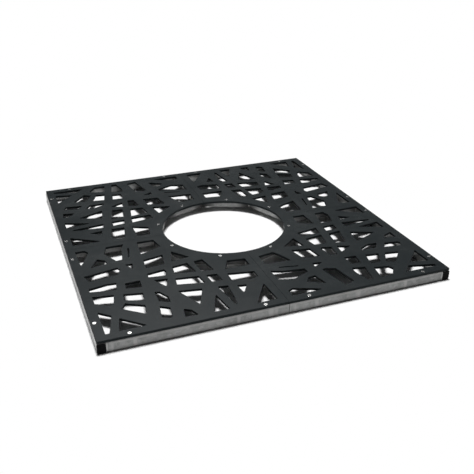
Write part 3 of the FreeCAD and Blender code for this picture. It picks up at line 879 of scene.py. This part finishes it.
class Builder:
    """What every sub-assembly shares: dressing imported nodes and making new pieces.

    Attributes:
        merge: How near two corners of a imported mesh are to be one.
        flat: The angle between faces under which they are one, in degrees.
        corner: The angle between faces over which their edge is rounded, in degrees.
        round_steps: The faces across a rounding.
        round_sharp: The angle over which an edge of a rounded piece stays sharp, in degrees.
    """

    merge: float = 0.002 * MM
    flat: float = 0.3
    corner: float = 50.0
    round_steps: int = 2
    round_sharp: float = 20.0

    def dress(self, node: str, dressing: Dressing) -> None:
        """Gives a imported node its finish.

        Args:
            node: The node's name.
            dressing: The finish.
        """
        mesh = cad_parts[node].data
        mesh.materials.clear()
        mesh.materials.append(dressing.material)
        log.info("dressed %s with %s", node, dressing.material.name)

    def piece(self, name: str, shape: bmesh.types.BMesh, body: str, dressing: Dressing,
              sharp: float) -> bpy.types.Object:
        """Makes a new piece from a finished shape.

        Args:
            name: The piece's name.
            shape: Its shape, which is used up.
            body: The body that it rides on.
            dressing: The finish, with its slot.
            sharp: The angle over which an edge stays sharp, in degrees.

        Returns:
            The piece.
        """
        mesh = bpy.data.meshes.new(name)
        shape.to_mesh(mesh)
        shape.free()
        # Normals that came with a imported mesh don't fit its rounded copy.
        if "custom_normal" in mesh.attributes:
            mesh.attributes.remove(mesh.attributes["custom_normal"])
        mesh.materials.clear()
        mesh.materials.append(dressing.material)
        mesh.polygons.foreach_set("material_index", [0] * len(mesh.polygons))
        mesh.shade_smooth()
        mesh.set_sharp_from_angle(angle=math.radians(sharp))
        made = bpy.data.objects.new(name, mesh)
        bpy.context.scene.collection.objects.link(made)
        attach(made, body)
        log.info("made %s on %s, %d faces", name, body, len(mesh.polygons))
        return made

    def rounded(self, name: str, node: str, body: str, dressing: Dressing,
                edge: float) -> bpy.types.Object:
        """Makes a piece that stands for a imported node, with its sharp edges rounded.

        Args:
            name: The piece's name.
            node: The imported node.
            body: The body that the node rides on.
            dressing: The finish, with its slot.
            edge: How far the rounding reaches from each edge.

        Returns:
            The piece.
        """
        shape = bmesh.new()
        shape.from_mesh(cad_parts[node].data)
        bmesh.ops.remove_doubles(shape, verts=shape.verts, dist=self.merge)
        bmesh.ops.dissolve_limit(shape, angle_limit=math.radians(self.flat), verts=shape.verts,
                                 edges=shape.edges)
        least = math.radians(self.corner)
        corners = [line for line in shape.edges if line.is_manifold and line.calc_face_angle() > least]
        bmesh.ops.bevel(shape, geom=corners, offset=edge, offset_type="OFFSET", affect="EDGES",
                        segments=self.round_steps, profile=0.5, material=-1, clamp_overlap=False)
        made = self.piece(name, shape, body, dressing, self.round_sharp)
        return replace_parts(made, node)


@dataclass
class CoverPlate(Builder):
    """One quarter's cover plate with the screws that hold it.

    Attributes:
        quarter: The quarter that it covers.
        plate_edge: The rounding that the coating leaves on the plate's edges.
        screw_edge: The rounding of the screw heads' edges.
    """

    quarter: Quarter
    plate_edge: float = 0.28 * MM
    screw_edge: float = 0.16 * MM

    def build(self, palette: Palette) -> None:
        """Makes the rounded plate and screws.

        Args:
            palette: The finishes.
        """
        plate, screws = COVER_PIECES
        where, body = self.quarter.value, self.quarter.body
        self.rounded(f"{plate}_{where}", f"plate_{where}", body, palette.coating, self.plate_edge)
        self.rounded(f"{screws}_{where}", f"screws_{where}", body, palette.screw, self.screw_edge)


@dataclass
class TubeFrame(Builder):
    """The two welded halves of the tube frame, with plugs, inserts and clamp bolts.

    Attributes:
        plug_edge: The rounding of the end plugs' edges.
        bolt_edge: The rounding of the bolts', nuts' and washers' edges.
    """

    plug_edge: float = 0.35 * MM
    bolt_edge: float = 0.3 * MM

    def build(self, palette: Palette) -> None:
        """Dresses the tubes and makes the rounded plugs and bolts.

        Args:
            palette: The finishes.
        """
        for side in Side:
            self.dress(f"side_tube_{side.value}", palette.tube)
            self.dress(f"front_rail_{side.value}", palette.rail)
            self.dress(f"back_rail_{side.value}", palette.rail)
            self.dress(f"cross_bar_{side.value}", palette.cross_bar)
        for octant in Octant:
            self.dress(f"ring_tube_{octant.value}", palette.ring)
        for quarter in Quarter:
            self.dress(f"split_bar_{quarter.value}", palette.split_bar)
            self.rounded(f"tube_plug_{quarter.value}", f"end_plug_{quarter.value}", FRAME_BODY,
                         palette.plastic, self.plug_edge)
        for inserts in ("rivet_nuts_rim", "rivet_nuts_ring"):
            self.dress(inserts, palette.plated)
        for group in ("bolts", "nuts", "washers"):
            self.rounded(f"frame_{group}", f"clamp_{group}", FRAME_BODY, palette.plated,
                         self.bolt_edge)


@dataclass
class WeldBeads(Builder):
    """The upright weld beads in the inside corners where the tubes meet.

    Attributes:
        radius: The bead's radius.
        inset: How far its middle stands off the two faces that it joins.
        ring_share: How far it stands off the ring's outer side, as a share of the inset.
        rim_margin: How far it stops short of a rim tube's lower and upper faces.
        bar_margin: How far it stops short of an inner bar's lower and upper faces.
        pitch: The height of one ripple.
        waist: The radius between ripples, as a share of the full radius.
        tip: The radius at both ends, as a share of the full radius.
        sides: How many sides the bead has round its middle.
        sharp: The angle over which an edge of a bead stays sharp, in degrees.
    """

    radius: float = 2.6 * MM
    inset: float = 0.9 * MM
    ring_share: float = 0.7
    rim_margin: float = 5.5 * MM
    bar_margin: float = 3.6 * MM
    pitch: float = 1.9 * MM
    waist: float = 0.88
    tip: float = 0.7
    sides: int = 12
    sharp: float = 60.0

    def bead(self, shape: bmesh.types.BMesh, across: float, along: float, bottom: float,
             top: float) -> None:
        """Adds one upright rippled bead.

        Args:
            shape: The shape that it is added to.
            across: The x of its middle.
            along: The y of its middle.
            bottom: The height of its lower end.
            top: The height of its upper end.
        """
        start = Matrix.Translation((across, along, bottom))
        made = bmesh.ops.create_circle(shape, cap_ends=True, segments=self.sides,
                                       radius=self.radius * self.tip, matrix=start)
        cap = list({face for vert in made["verts"] for face in vert.link_faces})
        middle = Matrix.Translation((-across, -along, 0.0))
        ripples = round((top - bottom) / self.pitch)
        rise = (top - bottom) / ripples / 2
        sizes = [self.tip] + [1.0, self.waist] * ripples
        sizes[-1] = self.tip
        for step, (old, new) in enumerate(zip(sizes, sizes[1:])):
            grown = bmesh.ops.extrude_face_region(shape, geom=cap)["geom"]
            # The first cap closes the lower end. A later one would be left inside the bead.
            if step:
                bmesh.ops.delete(shape, geom=cap, context="FACES_ONLY")
            cap = [part for part in grown if isinstance(part, bmesh.types.BMFace)]
            verts = [part for part in grown if isinstance(part, bmesh.types.BMVert)]
            bmesh.ops.translate(shape, verts=verts, vec=(0.0, 0.0, rise))
            bmesh.ops.scale(shape, verts=verts, vec=(new / old, new / old, 1.0), space=middle)

    def build(self, palette: Palette) -> None:
        """Makes the beads of each kind of joint as one piece.

        Args:
            palette: The finishes.
        """
        rim_low, rim_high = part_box("side_tube_right")
        bar_low, bar_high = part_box("cross_bar_right")
        rim = rim_low.x - self.inset
        bar = bar_high.y + self.inset
        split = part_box("split_bar_back_right")[1].x + self.inset
        end = bar_low.x + self.ring_share * self.inset
        tall = (rim_low.z + self.rim_margin, rim_high.z - self.rim_margin)
        short = (bar_low.z + self.bar_margin, bar_high.z - self.bar_margin)
        # This tube's lowest x is that of its inner corner on the diagonal of the grate.
        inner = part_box("ring_tube_right_back")[0].x * math.sqrt(2.0) - self.inset
        slant = inner * math.sqrt(0.5)
        joints = {
            "corner_welds": [(rim, rim, tall)],
            "cross_bar_welds": [(rim, bar, short), (end, bar, short)],
            "split_bar_welds": [(split, rim, short), (split, end, short)],
            "ring_welds": [(inner, 0.0, short), (slant, slant, short)],
        }
        for name, places in joints.items():
            shape = bmesh.new()
            for across, along, heights in places:
                for turn_x in (-1, 1):
                    for turn_y in (-1, 1) if along else (1,):
                        self.bead(shape, turn_x * across, turn_y * along, *heights)
            bmesh.ops.recalc_face_normals(shape, faces=shape.faces)
            self.piece(name, shape, FRAME_BODY, palette.weld, self.sharp)


@dataclass(frozen=True)
class Panel:
    """A soft white panel of the room that metal mirrors.

    Attributes:
        way: The way to its middle.
        near: Where it starts to fade, in degrees from its middle.
        far: Where it has faded out, in degrees from its middle.
        strength: How strong its middle is.
    """

    way: Point
    near: float
    far: float
    strength: float

    def put(self, desk: NodeDesk, way: Socket) -> Socket:
        """Puts the panel into the world.

        Args:
            desk: The world's node desk.
            way: The way that is looked.

        Returns:
            The socket of the panel's strength that way.
        """
        middle = Vector(self.way).normalized()
        facing = desk.add("VectorMath", {0: way, 1: middle}, operation="DOT_PRODUCT").outputs["Value"]
        return desk.add("MapRange", {"Value": facing, "From Min": math.cos(math.radians(self.far)),
                                     "From Max": math.cos(math.radians(self.near)),
                                     "To Min": 0.0, "To Max": self.strength},
                        interpolation_type="SMOOTHSTEP").outputs["Result"]


@dataclass(frozen=True)
class Lamp:
    """A square soft lamp.

    Attributes:
        name: The lamp's name.
        place: Where it hangs.
        aim: The point that it faces.
        size: Its side.
        power: Its power in watts.
    """

    name: str
    place: Point
    aim: Point
    size: float
    power: float

    def hang(self) -> bpy.types.Object:
        """Makes the lamp.

        Returns:
            The lamp.
        """
        data = bpy.data.lights.new(self.name, "AREA")
        data.shape, data.size, data.energy = "SQUARE", self.size, self.power
        lamp = bpy.data.objects.new(self.name, data)
        lamp.location = self.place
        lamp.rotation_mode = "QUATERNION"
        lamp.rotation_quaternion = (Vector(self.aim) - Vector(self.place)).to_track_quat("-Z", "Y")
        bpy.context.scene.collection.objects.link(lamp)
        return lamp


@dataclass
class Studio:
    """The camera at the photographed view, the pale floor, the soft lamps and the surroundings.

    Attributes:
        azimuth: Which way the camera looks, in degrees, 0 being straight along y.
        elevation: How far above the floor it looks from, in degrees.
        distance: How far it stands from its aim.
        aim: The point in the middle of its picture.
        lens: Its focal length in millimetres.
        sensor: The width of its sensor in millimetres.
        floor_size: The side of the floor.
        floor_tone: The floor's colour.
        white_from: How far from the middle the floor starts to turn to the background's white.
        white_by: How far from the middle it has turned.
        overhead: The lamp over the grate.
        left: The lamp beside the frame's left side.
        fill: The strength of the light from all round.
        dusk: The strength of the dim room that metal mirrors.
        panels: The soft panels in that room.
    """

    azimuth: float = -21.074
    elevation: float = 26.23
    distance: float = 2.4603
    aim: Point = (0.0114, -0.1163, 0.0427)
    lens: float = 50.30
    sensor: float = 36.0
    floor_size: float = 60.0
    floor_tone: Colour = (0.97, 0.97, 0.97)
    white_from: float = 0.604
    white_by: float = 0.68
    overhead: Lamp = Lamp("overhead_softbox", (0.14, 2.03, 14.0), (0.0, 0.0, 0.0), 3.4, 2050.0)
    left: Lamp = Lamp("left_softbox", (-2.6, 0.4, 0.26), (-0.6, 0.0, 0.0), 1.0, 42.0)
    fill: float = 0.07
    dusk: float = 0.07
    panels: tuple[Panel, ...] = (Panel((0.24, 0.97, 1.03), 2.0, 18.3, 5.5),
                                 Panel((0.37, -0.75, 0.55), 10.0, 45.0, 0.9),
                                 Panel((0.57, 0.82, 0.32), 6.0, 26.0, 0.12))

    def build(self) -> None:
        """Sets the whole studio."""
        scene = bpy.context.scene
        scene.view_settings.view_transform = "Standard"
        scene.camera = self._camera()
        self._floor()
        self._world()
        self.overhead.hang()
        self._keep_off_covers(self.left.hang())

    def _camera(self) -> bpy.types.Object:
        """Makes the camera.

        Returns:
            The camera.
        """
        turn, rise = math.radians(self.azimuth), math.radians(self.elevation)
        back = Vector((math.sin(turn) * math.cos(rise), -math.cos(turn) * math.cos(rise), math.sin(rise)))
        data = bpy.data.cameras.new("photo_camera")
        data.lens, data.sensor_width = self.lens, self.sensor
        camera = bpy.data.objects.new("photo_camera", data)
        camera.rotation_mode = "QUATERNION"
        camera.location = Vector(self.aim) + back * self.distance
        camera.rotation_quaternion = (-back).to_track_quat("-Z", "Y")
        bpy.context.scene.collection.objects.link(camera)
        return camera

    def _keep_off_covers(self, lamp: bpy.types.Object) -> None:
        """Lets a lamp light the frame, but not the cover plates and their screws.

        Args:
            lamp: The lamp.
        """
        lit = bpy.data.collections.new("frame_for_fill")
        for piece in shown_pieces():
            if not piece.name.startswith(COVER_PIECES):
                lit.objects.link(piece)
        lamp.light_linking.receiver_collection = lit

    def _seen(self, desk: NodeDesk) -> Socket:
        """Tells the rays that show the background: camera, glossy and transmission rays.

        Args:
            desk: The material's node desk.

        Returns:
            The socket of 1 for those rays and 0 for the others.
        """
        path = desk.add("LightPath").outputs
        mirrored = desk.maths("MAXIMUM", path["Is Glossy Ray"], path["Is Transmission Ray"])
        return desk.maths("MAXIMUM", path["Is Camera Ray"], mirrored)

    def _floor_paint(self) -> bpy.types.Material:
        """Makes the floor's material, which turns to the white of the background away from the grate.

        Returns:
            The material.
        """
        material = bpy.data.materials.new("pale_floor")
        material.use_nodes = True
        desk = NodeDesk(material.node_tree)
        part = desk.parts(desk.add("TexCoord").outputs["Object"])
        far = desk.maths("MAXIMUM", desk.maths("ABSOLUTE", part["X"]), desk.maths("ABSOLUTE", part["Y"]))
        away = desk.spread(far, self.white_from, self.white_by)
        paint = desk.add("BsdfDiffuse", {"Color": self.floor_tone})
        white = desk.add("Emission", {"Color": WHITE, "Strength": 1.0})
        shown = desk.maths("MULTIPLY", away, self._seen(desk))
        both = desk.add("MixShader", {0: shown, 1: paint.outputs[0], 2: white.outputs[0]})
        desk.add("OutputMaterial", {"Surface": both.outputs[0]})
        return material

    def _floor(self) -> None:
        """Lays the pale floor."""
        shape = bmesh.new()
        bmesh.ops.create_grid(shape, x_segments=2, y_segments=2, size=self.floor_size / 2)
        mesh = bpy.data.meshes.new("floor")
        shape.to_mesh(mesh)
        shape.free()
        mesh.materials.append(self._floor_paint())
        floor = bpy.data.objects.new("floor", mesh)
        bpy.context.scene.collection.objects.link(floor)
        floor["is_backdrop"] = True

    def _world(self) -> None:
        """Sets the dim light from all round, white to the camera, and the room that metal mirrors."""
        world = bpy.data.worlds.new("studio")
        world.use_nodes = True
        bpy.context.scene.world = world
        desk = NodeDesk(world.node_tree)
        way = desk.add("TexCoord").outputs["Generated"]
        room: object = self.dusk
        for panel in self.panels:
            room = desk.maths("ADD", panel.put(desk, way), room)
        path = desk.add("LightPath").outputs
        strength = desk.mix(path["Is Glossy Ray"], self.fill, room, Blend.VALUE)
        strength = desk.mix(path["Is Camera Ray"], strength, 1.0, Blend.VALUE)
        light = desk.add("Background", {"Color": WHITE, "Strength": strength})
        desk.add("OutputWorld", {"Surface": light.outputs[0]})


def main() -> None:
    """Builds and dresses each sub-assembly in order, then sets the studio."""
    logging.basicConfig(level=logging.INFO, format="%(name)s: %(message)s")
    palette = Palette()
    TubeFrame().build(palette)
    WeldBeads().build(palette)
    for quarter in Quarter:
        CoverPlate(quarter).build(palette)
    Studio().build()


if __name__ == "__main__":
    main()
